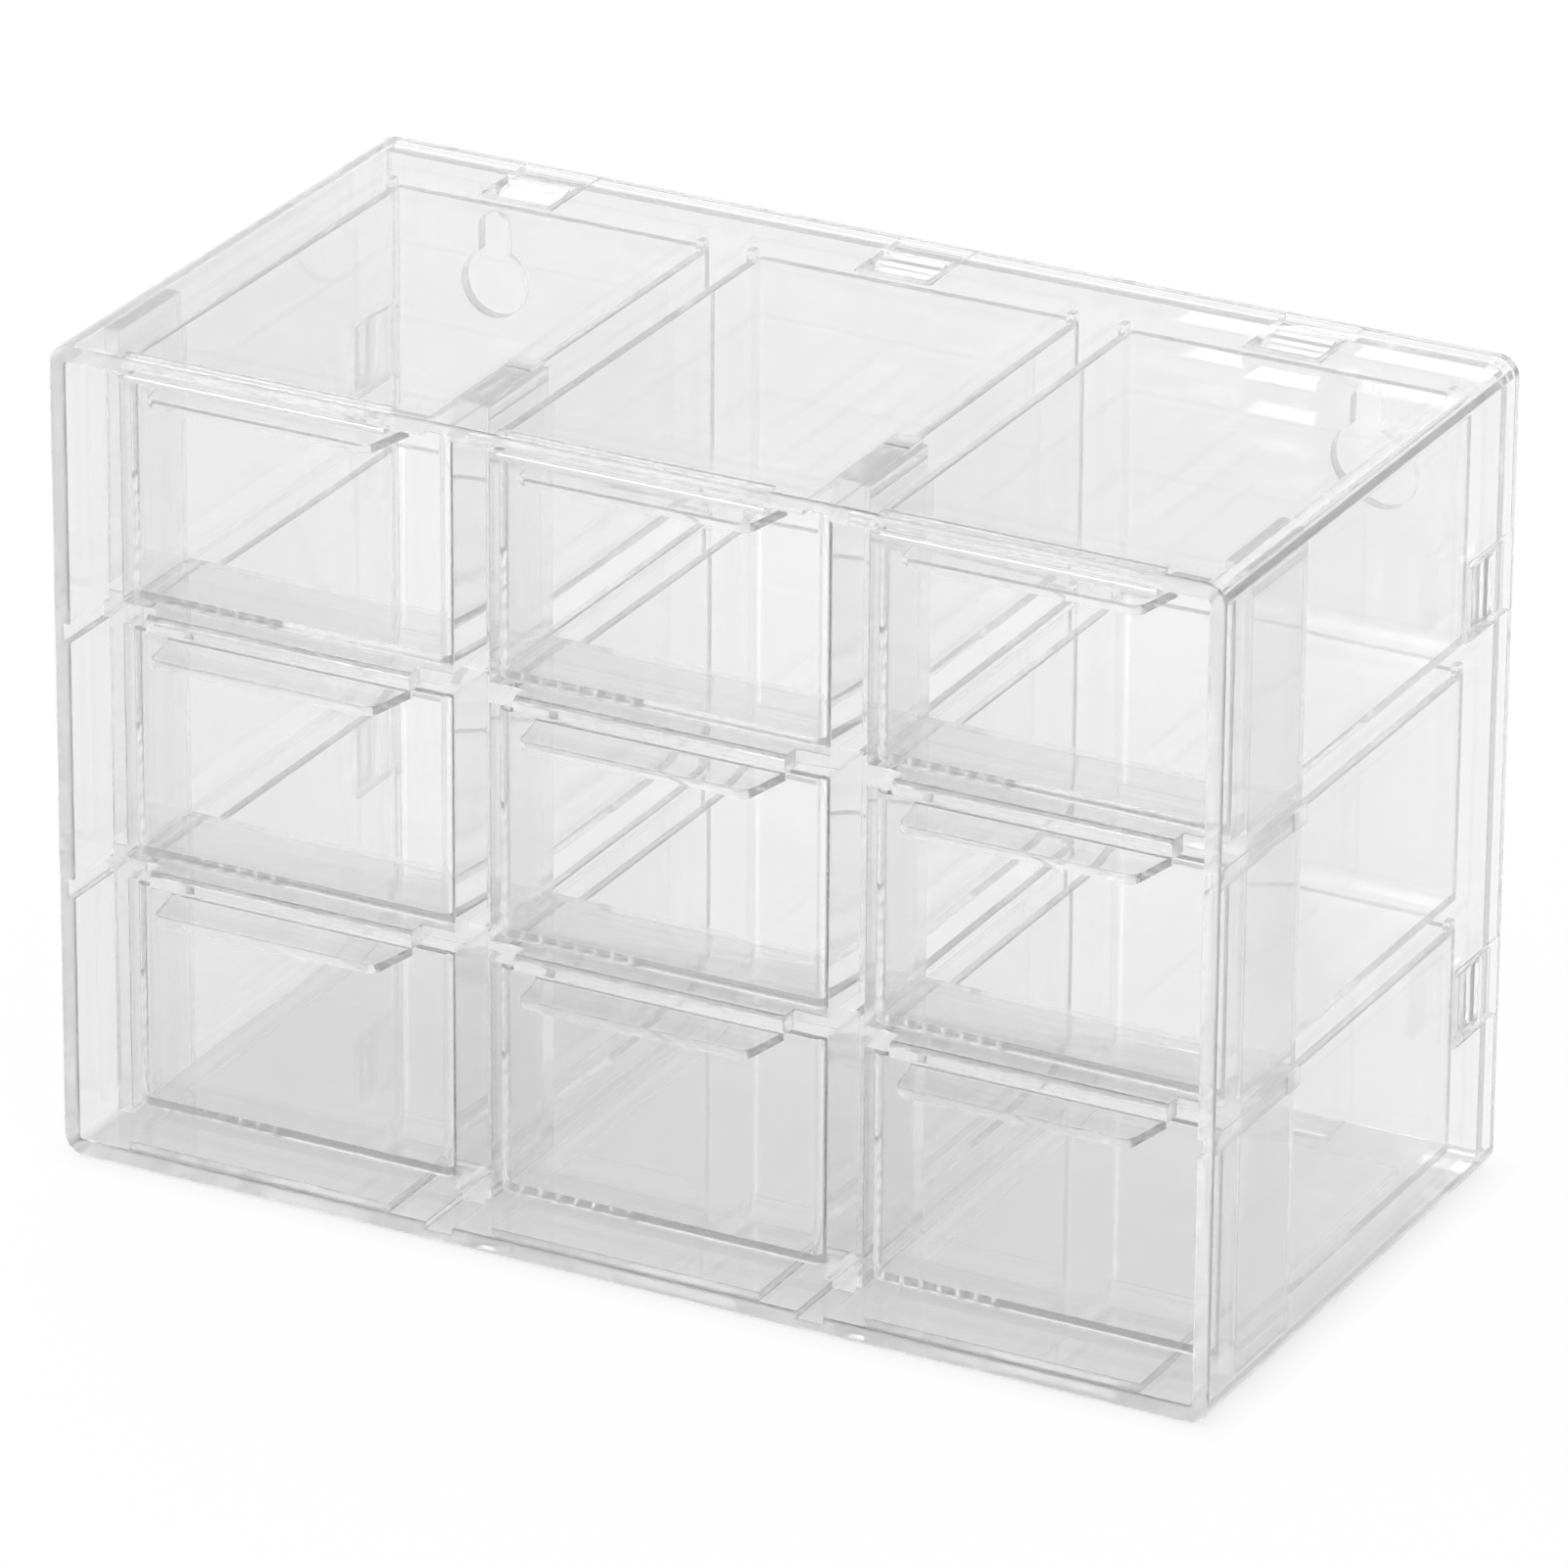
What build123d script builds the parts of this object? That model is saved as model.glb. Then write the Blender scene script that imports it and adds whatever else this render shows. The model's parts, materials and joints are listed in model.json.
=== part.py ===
"""Grid storage box: a clear moulded cabinet with three rows of three small drawers.

Millimetres. The origin is the centre of the base, +Z is up and the open front faces -Y.
A one-piece sleeve holds a moulded grid at its front and a snapped-in panel at its rear.
The drawers slide out to the front between the posts and over the rails of the grid.
"""
import os

from build123d import *

# Case, a sleeve open at the front and at the rear
case_width = 175.0
case_depth = 90.0
case_height = 120.0
case_wall = 2.5
case_corner = 3.0
rim_round = 0.4

# Runner pads on the case floor and guide lips on its ceiling, one of each for a column
pad_width = 41.0
pad_height = 1.2
pad_length = 75.0
lip_length = 4.0

# Divider grid, two posts, two side bars and two rails moulded together
grid_setback = 10.0
grid_depth = 16.5
post_width = 5.6
side_bar_width = 2.4
rail_height = 3.1
nose_reach = 3.0
nose_height = 2.7
nose_bevel = 0.6
grid_gap = 0.2

# Tongues on the grid's ends, and the channels in the case that they slide into
channel_depth = 1.0
post_tongue = 3.6
rail_tongue = 2.3
channel_gap = 0.2
catch_pocket_length = 4.0
catch_pocket_depth = 1.8
catch_gap = 0.3
catch_sink = 0.3
catch_ramp_start = 0.2

# Back panel and its snap arms
panel_setback = 2.0
panel_thickness = 2.0
panel_gap = 0.2
snap_spacing = 58.5
snap_window_width = 10.5
snap_window_length = 7.5
snap_window_setback = 6.0
snap_groove_width = 11.5
snap_groove_depth = 1.0
snap_gap = 0.3
side_snap_from_base = 29.0
side_snap_from_top = 31.0

# Keyhole slots for hanging the case on two screws
keyhole_spacing = 134.0
keyhole_from_top = 19.0
keyhole_radius = 5.0
keyhole_slot_width = 4.5
keyhole_rise = 8.2

# Drawers
drawer_wall = 1.4
drawer_floor = 1.4
drawer_corner = 1.2
drawer_base_round = 0.8
drawer_inner_round = 0.6
drawer_side_gap = 0.4
drawer_base_gap = 0.2
drawer_headroom = 1.0
drawer_setback = 0.5
drawer_rear_gap = 1.5

# Handle, a flat tapered plate on the drawer's top front edge
handle_root = 37.5
handle_tip = 34.5
handle_reach = 8.0
handle_thickness = 1.4
handle_round = 1.5
handle_flare = 1.5
handle_edge = 0.3

# Nibs on the rear ends of a drawer's side walls, which stop behind the rail
nib_length = 3.0
nib_overlap = 0.7
nib_stop_gap = 0.5

row_names = ("bottom", "middle", "top")
column_names = ("left", "centre", "right")

# Places that follow from the driving dimensions
front = -case_depth / 2
rear = case_depth / 2
inner_half_width = case_width / 2 - case_wall
floor_level = case_wall
ceiling_level = case_height - case_wall
mid_level = case_height / 2
inner_corner = case_corner - case_wall

grid_half_width = inner_half_width - grid_gap
open_width = 2 * (grid_half_width - side_bar_width) - (len(column_names) - 1) * post_width
cell_width = open_width / len(column_names)
column_pitch = cell_width + post_width
first_sill = floor_level + pad_height
row_pitch = (ceiling_level - first_sill) / len(row_names)

grid_front = front + grid_setback
grid_rear = grid_front + grid_depth
panel_rear = rear - panel_setback
panel_front = panel_rear - panel_thickness

drawer_width = cell_width - 2 * drawer_side_gap
drawer_height = row_pitch - rail_height - drawer_headroom
drawer_front = grid_front + drawer_setback
drawer_rear = panel_front - drawer_rear_gap
nib_height = drawer_headroom + nib_overlap
drawer_travel = drawer_rear - nib_length - grid_rear - nib_stop_gap


def column_centre(column):
    """The middle of a column of cells."""
    return (column - (len(column_names) - 1) / 2) * column_pitch


def sill(row):
    """The level that a row's drawers run on: the floor pads or the top of a rail."""
    return first_sill + row * row_pitch


def post_centres():
    """The middles of the posts, one between each two columns."""
    return [column_centre(column) + column_pitch / 2 for column in range(len(column_names) - 1)]


def rail_centres():
    """The mid heights of the rails, whose tops are the sills of the upper rows."""
    return [sill(row) - rail_height / 2 for row in range(1, len(row_names))]


def block(x_span, y_span, z_span):
    """A plain block that runs from the low to the high value on each axis."""
    spans = (x_span, y_span, z_span)
    size = [high - low for low, high in spans]
    centre = [(high + low) / 2 for low, high in spans]
    return Pos(*centre) * Box(*size)


def centred(middle, width):
    """The low and high ends of a width about its middle."""
    return (middle - width / 2, middle + width / 2)


def ceiling_seat(x):
    """A place on the ceiling's inner face, with local Z pointing out through the wall."""
    return Plane(origin=(x, 0, ceiling_level), x_dir=(1, 0, 0), z_dir=(0, 0, 1)).location


def floor_seat(x):
    """A place on the floor's inner face, with local Z pointing out through the wall."""
    return Plane(origin=(x, 0, floor_level), x_dir=(-1, 0, 0), z_dir=(0, 0, -1)).location


def right_seat(z):
    """A place on the right wall's inner face, with local Z pointing out through the wall."""
    return Plane(origin=(inner_half_width, 0, z), x_dir=(0, 0, -1), z_dir=(1, 0, 0)).location


def left_seat(z):
    """A place on the left wall's inner face, with local Z pointing out through the wall."""
    return Plane(origin=(-inner_half_width, 0, z), x_dir=(0, 0, 1), z_dir=(-1, 0, 0)).location


def tongue_seats():
    """Every end of the grid's posts and rails, with the width of its tongue."""
    seats = []
    for x in post_centres():
        seats.append((ceiling_seat(x), post_tongue))
        seats.append((floor_seat(x), post_tongue))
    for z in rail_centres():
        seats.append((left_seat(z), rail_tongue))
        seats.append((right_seat(z), rail_tongue))
    return seats


def snap_seats():
    """The places of the back panel's snap arms: three above, three below, two on each side."""
    seats = []
    for x in (-snap_spacing, 0, snap_spacing):
        seats.append(ceiling_seat(x))
        seats.append(floor_seat(x))
    for z in (side_snap_from_base, case_height - side_snap_from_top):
        seats.append(left_seat(z))
        seats.append(right_seat(z))
    return seats


def tongue_channel(width):
    """The channel for one tongue, open at the case's mouth, with its catch pocket behind."""
    half_span = centred(0, width + 2 * channel_gap)
    channel_rear = grid_rear + channel_gap
    channel = block(half_span, (front - rim_round, channel_rear), (-rim_round, channel_depth))
    pocket_span = (channel_rear - catch_pocket_length, channel_rear)
    return channel + block(half_span, pocket_span, (0, catch_pocket_depth))


def tongue(width):
    """One tongue of the grid with a small catch that stands in the pocket at its rear."""
    top = channel_depth - channel_gap
    bar = block(centred(0, width), (grid_front, grid_rear), (-2 * grid_gap, top))
    catch_top = catch_pocket_depth - catch_sink
    catch_front = grid_rear + channel_gap - catch_pocket_length + catch_gap
    profile = Polyline(
        (catch_front, top - catch_ramp_start),
        (catch_front, catch_top),
        (catch_front + catch_gap, catch_top),
        (grid_rear - catch_gap, top),
        (grid_rear - catch_gap, top - catch_ramp_start),
        close=True,
    )
    return bar + side_prism(profile, width)


def side_prism(profile, width):
    """A prism of a given width across local X, whose profile is drawn in depth and height."""
    face = make_face(Plane.YZ * profile)
    return extrude(face, width / 2, both=True)


def snap_pocket():
    """The groove for one snap arm, open at the case's rear, with its window in front."""
    window_rear = rear - snap_window_setback
    window_front = window_rear - snap_window_length
    groove_depths = (-rim_round, snap_groove_depth)
    groove = block(centred(0, snap_groove_width), (window_front, rear + rim_round), groove_depths)
    window_depths = (0, case_wall + rim_round)
    window = block(centred(0, snap_window_width), (window_front, window_rear), window_depths)
    return groove + window


def snap_arm():
    """One snap arm in its groove, with the wedge that stands in the window."""
    window_rear = rear - snap_window_setback
    window_front = window_rear - snap_window_length
    width = snap_window_width - 2 * snap_gap
    arm_top = snap_groove_depth - channel_gap
    arm_front = window_front + snap_gap
    arm = block(centred(0, width), (arm_front, panel_rear), (0, arm_top))
    foot = block(centred(0, width), (panel_front, panel_rear), (-2 * panel_gap, arm_top))
    wedge = Polyline(
        (arm_front, arm_top),
        (window_rear - 2 * snap_gap, case_wall - catch_sink),
        (window_rear - snap_gap, case_wall - catch_sink),
        (window_rear - snap_gap, arm_top - catch_ramp_start),
        (arm_front, arm_top - catch_ramp_start),
        close=True,
    )
    return arm + foot + side_prism(wedge, width)


def case_shell():
    """The sleeve with its pads, lips, tongue channels and snap pockets."""
    outer = block(centred(0, case_width), (front, rear), (0, case_height))
    outer = fillet(outer.edges().filter_by(Axis.Y), case_corner)
    outer = fillet(outer.faces().filter_by(Axis.Y).edges(), rim_round)
    hollow_span = centred(0, 2 * inner_half_width)
    hollow = block(hollow_span, (front - rim_round, rear + rim_round), (floor_level, ceiling_level))
    hollow = fillet(hollow.edges().filter_by(Axis.Y), inner_corner)
    shell = outer - hollow
    for column in range(len(column_names)):
        pad_span = centred(column_centre(column), pad_width)
        pad_depths = (front + rim_round, front + pad_length)
        shell += block(pad_span, pad_depths, (floor_level - rim_round, first_sill))
        lip_depths = (front + rim_round, front + lip_length)
        shell += block(pad_span, lip_depths, (ceiling_level - pad_height, ceiling_level + rim_round))
    for seat, width in tongue_seats():
        shell -= seat * tongue_channel(width)
    for seat in snap_seats():
        shell -= seat * snap_pocket()
    return shell


def nose(column, row):
    """The lip that carries a rail's sill forward under one drawer's handle."""
    lip = block(
        centred(column_centre(column), pad_width),
        (grid_front - nose_reach, grid_front + nose_reach),
        (sill(row) - nose_height, sill(row)),
    )
    front_edges = lip.faces().sort_by(Axis.Y)[0].edges()
    return chamfer(front_edges.filter_by(Axis.X), nose_bevel)


def divider_grid():
    """The moulded grid: posts, side bars, rails, the sills' noses and the tongues on every end."""
    depths = (grid_front, grid_rear)
    post_levels = (floor_level + grid_gap, ceiling_level - grid_gap)
    rail_span = centred(0, 2 * grid_half_width)
    grid = Part()
    for x in post_centres():
        grid += block(centred(x, post_width), depths, post_levels)
    bar_inner = grid_half_width - side_bar_width
    for span in ((-grid_half_width, -bar_inner), (bar_inner, grid_half_width)):
        grid += block(span, depths, post_levels)
    for z in rail_centres():
        grid += block(rail_span, depths, centred(z, rail_height))
    for row in range(1, len(row_names)):
        for column in range(len(column_names)):
            grid += nose(column, row)
    for seat, width in tongue_seats():
        grid += seat * tongue(width)
    return grid


def keyhole(x):
    """A round entry for a screw's head with a narrow slot above it for the screw's neck."""
    entry_level = case_height - keyhole_from_top
    slot_top = entry_level + keyhole_rise
    reach = (panel_front - rim_round, panel_rear + rim_round)
    middle = (reach[0] + reach[1]) / 2
    length = reach[1] - reach[0]
    entry = Pos(x, middle, entry_level) * Rot(90, 0, 0) * Cylinder(keyhole_radius, length)
    slot = block(centred(x, keyhole_slot_width), reach, (entry_level, slot_top))
    slot_end = Pos(x, middle, slot_top) * Rot(90, 0, 0) * Cylinder(keyhole_slot_width / 2, length)
    return entry + slot + slot_end


def back_panel():
    """The plate that closes the rear, with its snap arms and two keyhole slots."""
    plate_span = centred(0, 2 * (inner_half_width - panel_gap))
    plate_levels = (floor_level + panel_gap, ceiling_level - panel_gap)
    plate = block(plate_span, (panel_front, panel_rear), plate_levels)
    panel = fillet(plate.edges().filter_by(Axis.Y), inner_corner)
    for seat in snap_seats():
        panel += seat * snap_arm()
    for x in centred(0, keyhole_spacing):
        panel -= keyhole(x)
    return panel


def handle(top):
    """The tapered plate that a finger pulls, level with the drawer's top edge.

    Its root is drawn wider inside the drawer's wall, so that a hollow round can join the two.
    """
    tip_line = drawer_front - handle_reach
    root_line = drawer_front + drawer_wall
    buried_half = handle_root / 2 + 2 * handle_flare
    outline = Polyline(
        (-handle_root / 2, drawer_front),
        (-handle_tip / 2, tip_line),
        (handle_tip / 2, tip_line),
        (handle_root / 2, drawer_front),
        (buried_half, drawer_front),
        (buried_half, root_line),
        (-buried_half, root_line),
        (-buried_half, drawer_front),
        close=True,
    )
    plate = Pos(0, 0, top - handle_thickness) * extrude(make_face(outline), handle_thickness)
    front_corners = plate.edges().filter_by(Axis.Z).group_by(Axis.Y)[1]
    plate = fillet(front_corners.sort_by(lambda edge: abs(edge.center().X))[:2], handle_flare)
    plate = fillet(plate.edges().filter_by(Axis.Z).group_by(Axis.Y)[0], handle_round)
    tip_edges = plate.edges().group_by(Axis.Y)[0].filter_by(Axis.X)
    return chamfer(tip_edges, handle_edge)


def drawer(column, row):
    """One drawer: an open tray with its handle and its two stop nibs."""
    base = sill(row) + drawer_base_gap
    top = base + drawer_height
    half_width = drawer_width / 2
    tray = block((-half_width, half_width), (drawer_front, drawer_rear), (base, top))
    tray = fillet(tray.edges().filter_by(Axis.Z), drawer_corner)
    tray = fillet(tray.faces().sort_by(Axis.Z)[0].edges(), drawer_base_round)
    inner_half = half_width - drawer_wall
    hollow_depths = (drawer_front + drawer_wall, drawer_rear - drawer_wall)
    hollow = block((-inner_half, inner_half), hollow_depths, (base + drawer_floor, top + rim_round))
    hollow = fillet(hollow.edges().filter_by(Axis.Z), drawer_inner_round)
    hollow = fillet(hollow.faces().sort_by(Axis.Z)[0].edges(), drawer_inner_round / 2)
    tray = tray - hollow + handle(top)
    nib_depths = (drawer_rear - nib_length, drawer_rear - drawer_corner)
    for side in (-1, 1):
        nib_span = sorted((side * half_width, side * inner_half))
        tray += block(nib_span, nib_depths, (top - drawer_wall, top + nib_height))
    return Pos(column_centre(column), 0, 0) * tray


def save(name, shape):
    """Write one piece under its node's name."""
    shape.label = name
    export_step(shape, f"parts/{name}.step")
    print(f"{name}: {len(shape.solids())} solid, {shape.volume / 1000:.2f} cm3")


def main():
    """Build and write every piece of the box."""
    os.makedirs("parts", exist_ok=True)
    save("case_shell", case_shell())
    save("divider_grid", divider_grid())
    save("back_panel", back_panel())
    for row, row_name in enumerate(row_names):
        for column, column_name in enumerate(column_names):
            save(f"drawer_{row_name}_{column_name}", drawer(column, row))
    print(f"drawer travel {drawer_travel:.2f} mm, sills {[round(sill(row), 3) for row in range(len(row_names))]}")


main()
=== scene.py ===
"""Clear grid storage box: its sleeve, divider grid, back panel and nine drawers, dressed for pictures.

It is laid out as an add-on and run as a script. A Geometry Nodes tree grows each piece from named sizes.
The result is made a plain mesh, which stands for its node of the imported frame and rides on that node's body.
Lengths are in metres. The origin is the centre of the base, +Z is up and the open front faces -Y.
"""
import json
import math

import bmesh
import bpy
from mathutils import Matrix, Vector

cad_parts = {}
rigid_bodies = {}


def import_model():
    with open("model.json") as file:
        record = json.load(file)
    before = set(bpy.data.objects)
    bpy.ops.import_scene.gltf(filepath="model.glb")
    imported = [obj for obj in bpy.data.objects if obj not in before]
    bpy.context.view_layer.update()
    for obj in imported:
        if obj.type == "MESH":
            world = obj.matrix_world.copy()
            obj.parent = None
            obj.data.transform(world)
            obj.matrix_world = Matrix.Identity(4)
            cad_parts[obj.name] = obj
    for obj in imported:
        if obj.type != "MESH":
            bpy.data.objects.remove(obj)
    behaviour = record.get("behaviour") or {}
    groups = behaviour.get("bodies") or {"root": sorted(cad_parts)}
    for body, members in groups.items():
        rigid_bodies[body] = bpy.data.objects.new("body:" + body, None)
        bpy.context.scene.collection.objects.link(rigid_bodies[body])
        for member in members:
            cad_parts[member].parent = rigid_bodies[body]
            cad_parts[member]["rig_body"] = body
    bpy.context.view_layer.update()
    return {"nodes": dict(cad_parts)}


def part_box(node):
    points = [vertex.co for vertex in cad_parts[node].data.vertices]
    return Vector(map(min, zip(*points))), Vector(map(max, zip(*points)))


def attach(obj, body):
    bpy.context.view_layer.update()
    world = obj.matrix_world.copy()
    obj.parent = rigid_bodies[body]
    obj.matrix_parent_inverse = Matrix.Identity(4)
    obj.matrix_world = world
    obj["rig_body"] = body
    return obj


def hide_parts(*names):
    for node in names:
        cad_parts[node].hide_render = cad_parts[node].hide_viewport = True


bl_info = {
    "name": "Clear Grid Storage Box",
    "version": (1, 0, 0),
    "blender": (4, 5, 0),
    "location": "View3D > Sidebar > Storage Box",
    "description": "Grows a clear moulded storage box with nine drawers around its packed frame",
    "category": "Object",
}

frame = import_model()
case_low, case_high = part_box("case_shell")

MM = 0.001
QUARTER_TURN = math.radians(90)
ROWS = ("bottom", "middle", "top")
COLUMNS = ("left", "centre", "right")


# Sizes, finishes and stage settings that a user would change

def length(label, description, millimetres):
    """A length property, whose default is written in millimetres."""
    return bpy.props.FloatProperty(
        name=label,
        description=description,
        default=millimetres * MM,
        min=0.0,
        precision=5,
        subtype="DISTANCE",
        unit="LENGTH",
    )


def share(label, description, default):
    """A property from nothing to all."""
    return bpy.props.FloatProperty(
        name=label,
        description=description,
        default=default,
        min=0.0,
        max=1.0,
        subtype="FACTOR",
    )


def angle(label, description, degrees):
    """An angle property, whose default is written in degrees."""
    return bpy.props.FloatProperty(
        name=label,
        description=description,
        default=math.radians(degrees),
        subtype="ANGLE",
        unit="ROTATION",
    )


def lamp_power(label, description, watts):
    """A lamp's power."""
    return bpy.props.FloatProperty(
        name=label,
        description=description,
        default=watts,
        min=0.0,
        unit="POWER",
    )


class BoxSizes(bpy.types.PropertyGroup):
    """Every length that the trees take."""

    case_width: length("Case width", "Overall width of the sleeve", (case_high.x - case_low.x) / MM)
    case_depth: length("Case depth", "Overall depth of the sleeve", (case_high.y - case_low.y) / MM)
    case_height: length("Case height", "Overall height of the sleeve", (case_high.z - case_low.z) / MM)
    case_wall: length("Case wall", "Thickness of the sleeve's four walls", 2.5)
    case_corner: length("Case corner", "Outer round along the sleeve's long edges", 3.0)
    rim_round: length("Rim round", "Round of the sleeve's front and rear rims", 0.4)
    pad_width: length("Pad width", "Width of a runner pad, a ceiling lip and a sill's nose", 41.0)
    pad_height: length("Pad height", "Height of a runner pad and of a ceiling lip", 1.2)
    pad_length: length("Pad length", "Length of a runner pad from the mouth", 75.0)
    lip_length: length("Lip length", "Length of a ceiling lip from the mouth", 4.0)
    column_pitch: length("Column pitch", "Distance between the middles of two columns", 56.8)
    grid_setback: length("Grid setback", "Depth of the grid's front behind the mouth", 10.0)
    grid_depth: length("Grid depth", "Depth of the grid from front to rear", 16.5)
    post_width: length("Post width", "Width of a post of the grid", 5.6)
    rail_height: length("Rail height", "Height of a rail of the grid", 3.1)
    nose_reach: length("Nose reach", "Reach of a sill's nose in front of its rail", 3.0)
    nose_height: length("Nose height", "Height of a sill's nose", 2.7)
    nose_bevel: length("Nose bevel", "Bevel of the nose's front edges", 0.6)
    part_gap: length("Part gap", "Gap between two parts that are pushed together", 0.2)
    channel_depth: length("Channel depth", "Depth of the channels for the grid's tongues", 1.0)
    post_tongue: length("Post tongue", "Width of the tongue on a post's end", 3.6)
    rail_tongue: length("Rail tongue", "Width of the tongue on a rail's end", 2.3)
    catch_length: length("Catch pocket length", "Length of the pocket for a tongue's catch", 4.0)
    catch_depth: length("Catch pocket depth", "Depth of the pocket for a tongue's catch", 1.8)
    catch_gap: length("Catch gap", "Gap round a catch in its pocket and a snap in its window", 0.3)
    panel_setback: length("Panel setback", "Depth of the back panel in front of the rear rim", 2.0)
    panel_thickness: length("Panel thickness", "Thickness of the back panel", 2.0)
    snap_spacing: length("Snap spacing", "Distance between the snap windows of the top", 58.5)
    snap_width: length("Snap window width", "Width of a snap window", 10.5)
    snap_length: length("Snap window length", "Length of a snap window along the depth", 7.5)
    snap_setback: length("Snap window setback", "Distance of a snap window from the rear rim", 6.0)
    groove_width: length("Snap groove width", "Width of the groove for a snap arm", 11.5)
    groove_depth: length("Snap groove depth", "Depth of the groove for a snap arm", 1.0)
    side_snap_low: length("Low side snap", "Height of the lower side snaps from the base", 29.0)
    side_snap_high: length("High side snap", "Distance of the upper side snaps from the top", 31.0)
    keyhole_spacing: length("Keyhole spacing", "Distance between the two keyholes", 134.0)
    keyhole_drop: length("Keyhole drop", "Distance of a keyhole's round entry from the top", 19.0)
    keyhole_radius: length("Keyhole radius", "Radius of a keyhole's round entry", 5.0)
    keyhole_slot: length("Keyhole slot", "Width of a keyhole's slot", 4.5)
    keyhole_rise: length("Keyhole rise", "Height of the slot's end above the entry's middle", 8.2)
    drawer_wall: length("Drawer wall", "Thickness of a drawer's walls and floor", 1.4)
    drawer_corner: length("Drawer corner", "Inner round of a drawer's upright corners", 0.6)
    drawer_base_round: length("Drawer base round", "Outer round along a drawer's base", 0.8)
    drawer_rim_round: length("Drawer rim round", "Round of a drawer's top rim", 0.3)
    handle_root: length("Handle root", "Width of a handle where it meets the drawer", 37.5)
    handle_tip: length("Handle tip", "Width of a handle at its front edge", 34.5)
    handle_reach: length("Handle reach", "Reach of a handle in front of its drawer", 8.0)
    handle_thickness: length("Handle thickness", "Thickness of a handle", 1.4)
    handle_round: length("Handle round", "Round of a handle's front corners", 1.5)
    nib_length: length("Nib length", "Length of a stop nib", 3.0)
    nib_height: length("Nib height", "Height of a stop nib above the drawer's rim", 1.7)
    edge_round: length("Edge round", "Small round on every other moulded edge", 0.15)


class BoxFinish(bpy.types.PropertyGroup):
    """How clear and how smooth each part's plastic is."""

    case_clear: share("Case clearness", "Light that one wall of the sleeve lets through", 0.915)
    panel_clear: share("Panel clearness", "Light that the back panel lets through", 0.975)
    grid_clear: share("Grid clearness", "Light that a post or a rail lets through", 0.92)
    drawer_clear: share("Drawer clearness", "Light that one wall of a drawer lets through", 0.994)
    haze: share("Haze", "Roughness of the moulded faces, which blurs what lies far behind them", 0.012)
    refraction: bpy.props.FloatProperty(
        name="Refractive index",
        description="Refractive index of the plastic",
        default=1.55,
        min=1.0,
        max=3.0,
    )
    body: share("Body", "How much the plastic bends and mirrors light, instead of passing it straight", 0.9)
    drawer_body: share("Drawer body", "The same for the drawers", 0.95)
    waviness: length("Waviness", "Height of the shallow waves that moulding leaves", 0.012)


class StageSettings(bpy.types.PropertyGroup):
    """The camera, the lamps and the backdrop."""

    azimuth: angle("Azimuth", "How far the camera stands to the right of straight ahead", 27.652)
    elevation: angle("Elevation", "How far the camera stands above the horizon", 23.915)
    roll: angle("Roll", "How far the camera is turned about its line of sight", 0.4)
    distance: length("Camera distance", "Distance of the camera from the box's middle", 1600.87)
    aim_right: length("Aim right", "How far right of the box's middle the camera aims", 0.38)
    aim_down: length("Aim down", "How far below the box's middle the camera aims", 3.233)
    lens: bpy.props.FloatProperty(
        name="Lens",
        description="Focal length on a sensor 36 mm wide, in millimetres",
        default=271.06,
        min=1.0,
    )
    room_light: bpy.props.FloatProperty(
        name="Room light",
        description="Strength of the even light from all round",
        default=0.8,
        min=0.0,
    )
    key_power: lamp_power("Key lamp", "Power of the large soft lamp above, in watts", 6.0)
    rim_power: lamp_power("Rim lamp", "Power of the lamp behind, which the snaps mirror, in watts", 5.0)
    floor_white: share("Floor white", "Share of the floor's white that doesn't depend on the light", 0.97)
    # Right under the box the floor's white share is lower. This paints a shadow inside the box's outline, and
    # Shade edge softens the edge of that painted shadow.
    floor_white_below: share("Floor white below", "That share for the floor right under the box", 0.66)
    shade_edge: length("Shade edge", "How soft the edge of the shade under the box is", 4.0)
    ceiling_light: share("Ceiling light", "Brightness of the ceiling that the plastic mirrors", 0.18)
    backdrop_top: angle("Backdrop top", "How far above the horizon the white backdrop reaches", 30)


# Node trees in code

class Value:
    """A number inside a tree. Plain arithmetic on it adds Math nodes."""

    def __init__(self, tree, socket):
        self.tree = tree
        self.socket = socket

    def __add__(self, other):
        return self.tree.math("ADD", self, other)

    def __radd__(self, other):
        return self.tree.math("ADD", other, self)

    def __sub__(self, other):
        return self.tree.math("SUBTRACT", self, other)

    def __rsub__(self, other):
        return self.tree.math("SUBTRACT", other, self)

    def __mul__(self, other):
        return self.tree.math("MULTIPLY", self, other)

    def __truediv__(self, other):
        return self.tree.math("DIVIDE", self, other)

    def __neg__(self):
        return self.tree.math("MULTIPLY", self, -1.0)


class Wiring:
    """Adds nodes to a tree and links them by the names of their sockets."""

    def __init__(self, group):
        self.group = group

    def feed(self, socket, value):
        """Link a socket to a node's output, to several outputs in turn, or set its own value."""
        if isinstance(value, Value):
            self.group.links.new(value.socket, socket)
        elif isinstance(value, bpy.types.NodeSocket):
            self.group.links.new(value, socket)
        elif isinstance(value, list):
            for one in value:
                self.feed(socket, one)
        else:
            socket.default_value = value

    def node(self, kind, sockets=None, **settings):
        """A new node with its settings made and its named sockets fed."""
        node = self.group.nodes.new(kind)
        for name, value in settings.items():
            setattr(node, name, value)
        for name, value in (sockets or {}).items():
            self.feed(node.inputs[name], value)
        return node

    def math(self, operation, first, second):
        """A Math node's result."""
        node = self.node("ShaderNodeMath", {0: first, 1: second}, operation=operation)
        return Value(self, node.outputs[0])

    def vector(self, x, y, z):
        """Three numbers as one vector."""
        return self.node("ShaderNodeCombineXYZ", {"X": x, "Y": y, "Z": z}).outputs["Vector"]


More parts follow.
